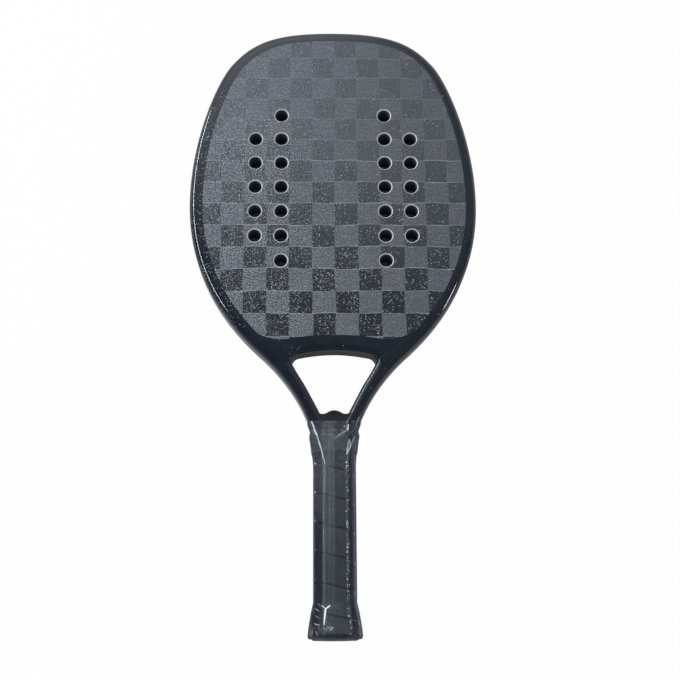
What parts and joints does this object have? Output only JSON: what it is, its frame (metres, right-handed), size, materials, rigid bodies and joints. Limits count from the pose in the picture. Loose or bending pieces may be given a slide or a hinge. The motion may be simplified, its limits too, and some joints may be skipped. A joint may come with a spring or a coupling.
{
  "type": "beach tennis racket",
  "caption": "Perforated composite beach tennis racket: hollow carbon hoop and open throat, foam core between carbon faces, and a spiral-wound eight-sided handle in a clear sleeve.",
  "frame": {"origin": "middle of the butt cap's flat end face", "axes": "+Y along the racket from the butt to the head, +Z out of the front face, +X across the head to the right seen from the front"},
  "size_m": [0.2332, 0.5, 0.0342],
  "materials": {
    "lacquer": "clear-coated blue-black lacquer over carbon",
    "tube_foam": "expanded rigid foam",
    "filler": "lacquered moulded filler",
    "core_foam": "closed-cell foam",
    "glass_fibre": "cut edge of glass fibre laminate",
    "carbon_face": "spread-tow carbon checker under a gritty satin coat",
    "pallet_foam": "rigid polyurethane foam",
    "cap_plastic": "moulded satin plastic",
    "staple_wire": "galvanised wire",
    "grip_strip": "cushioned polyurethane grip strip",
    "tape": "satin vinyl tape",
    "clear_film": "clear shrink film"
  },
  "bodies": {
    "root": {"frame_tube": "lacquer", "frame_foam": "tube_foam", "throat_bridge": "lacquer", "bridge_foam": "tube_foam", "throat_filler": "filler", "eva_core": "core_foam", "glass_ply_front": "glass_fibre", "glass_ply_back": "glass_fibre", "face_front": "carbon_face", "face_back": "carbon_face", "handle_pallet_front": "pallet_foam", "handle_pallet_back": "pallet_foam", "butt_cap": "cap_plastic", "butt_staple_right": "staple_wire", "butt_staple_left": "staple_wire", "base_grip": "grip_strip", "finishing_tape": "tape", "film_sleeve": "clear_film"}
  },
  "joints": []
}
